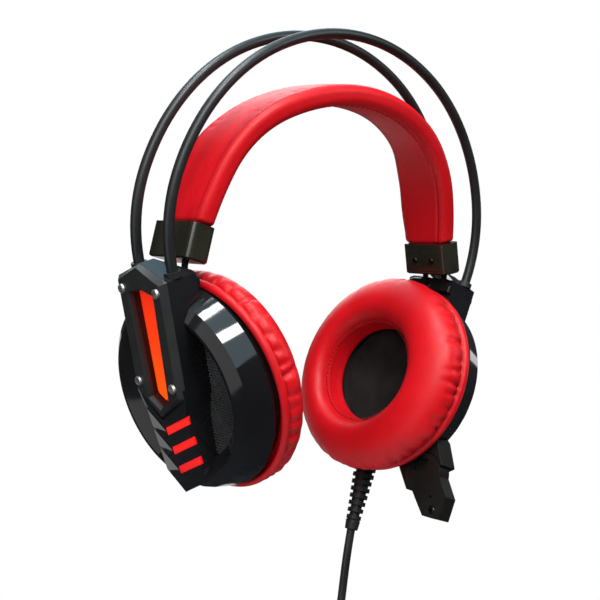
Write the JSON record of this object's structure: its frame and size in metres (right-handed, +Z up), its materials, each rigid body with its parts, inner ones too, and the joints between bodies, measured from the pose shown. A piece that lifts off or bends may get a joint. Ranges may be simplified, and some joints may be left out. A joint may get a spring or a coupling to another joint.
{
  "type": "gaming headset",
  "caption": "Over-ear gaming headset: twin hoops, padded headband on elastic cords, lit closed-back cups, short boom microphone and a USB cable.",
  "frame": {"origin": "middle of the underside of the headband pad at its crown, where a wearer's head or a stand carries the headset", "axes": "+X towards the wearer's left ear, +Y towards the back of the head, +Z up"},
  "size_m": [0.1912, 0.1037, 0.4141],
  "materials": {
    "pad_fabric": "red imitation leather over foam",
    "cushion": "red imitation leather over foam",
    "strip": "flexible polypropylene strip",
    "cap": "satin black ABS",
    "screw_zinc": "zinc-plated steel",
    "screw_bright": "satin nickel-plated steel",
    "elastic": "braided elastic cord",
    "hoop_skin": "satin black sleeve over spring steel",
    "hoop_steel": "spring steel wire",
    "collar": "black rubber",
    "hub_gloss": "gloss black ABS",
    "plate_matte": "matte charcoal ABS",
    "lens_orange": "orange-red diffusing acrylic",
    "lens_red": "red diffusing acrylic",
    "board": "glass-fibre circuit board with lamps",
    "shell_gloss": "gloss black ABS",
    "grille_black": "matte black ABS",
    "baffle_black": "matte black ABS",
    "driver_frame": "black polycarbonate",
    "magnet": "nickel-plated magnet and yoke",
    "diaphragm": "clear polyester film",
    "screen_cloth": "black speaker cloth",
    "pad_ring": "black ABS",
    "mic_black": "satin black ABS",
    "pin_steel": "steel",
    "capsule": "aluminium can",
    "relief_rubber": "matte black PVC",
    "cable_pvc": "black PVC jacket",
    "tie_velcro": "woven hook-and-loop tie",
    "plug_over": "black PVC overmould",
    "plug_metal": "nickel-plated steel",
    "tongue": "PBT insulator"
  },
  "bodies": {
    "headband": {"headband_pad": "pad_fabric", "headband_strip": "strip", "end_cap_left": "cap", "end_cap_right": "cap", "end_cap_cover_left": "cap", "end_cap_cover_right": "cap", "end_cap_screws": "screw_zinc", "elastic_cords_left": "elastic", "elastic_cords_right": "elastic"},
    "frame": {"hoop_front": "hoop_skin", "hoop_rear": "hoop_skin", "hoop_rods": "hoop_steel", "hoop_collars": "collar", "hub_left": "hub_gloss", "hub_right": "hub_gloss", "hub_cover_left": "baffle_black", "hub_cover_right": "baffle_black", "hub_cover_screws": "screw_zinc", "front_plate_left": "plate_matte", "front_plate_right": "plate_matte", "plate_screws": "screw_bright", "light_strip_left": "lens_orange", "light_strip_right": "lens_orange", "led_boards": "board", "keel_lights_left": "lens_red", "keel_lights_right": "lens_red", "cup_shell_left": "shell_gloss", "cup_shell_right": "shell_gloss", "grille_left": "grille_black", "grille_right": "grille_black", "baffle_left": "baffle_black", "baffle_right": "baffle_black", "baffle_screws": "screw_zinc", "driver_frame_left": "driver_frame", "driver_frame_right": "driver_frame", "driver_magnets": "magnet", "diaphragms": "diaphragm", "speaker_screen_left": "screen_cloth", "speaker_screen_right": "screen_cloth", "pad_ring_left": "pad_ring", "pad_ring_right": "pad_ring", "ear_pad_left": "cushion", "ear_pad_right": "cushion", "mic_bracket": "mic_black", "mic_pivot_pin": "pin_steel", "strain_relief": "relief_rubber", "cable": "cable_pvc", "cable_coil": "cable_pvc", "cable_tail": "cable_pvc", "coil_tie": "tie_velcro", "plug_body": "plug_over", "plug_shell": "plug_metal", "plug_tongue": "tongue"},
    "microphone": {"mic_housing": "mic_black", "mic_cover": "mic_black", "mic_capsule": "capsule", "mic_screw": "screw_zinc"}
  },
  "joints": [
    {"name": "frame_slide", "type": "slide", "parent": "headband", "child": "frame", "axis": [0, 0, -1], "range_m": [0, 0.015], "stiffness_N_per_m": 300, "springref_m": -0.015, "deforming": ["elastic_cords_left", "elastic_cords_right"]},
    {"name": "mic_tilt", "type": "hinge", "parent": "frame", "child": "microphone", "pos_m": [0.04467, -0.03512, -0.15951], "axis": [0.9528, -0.0616, -0.2974], "range_deg": [-28, 10]}
  ]
}
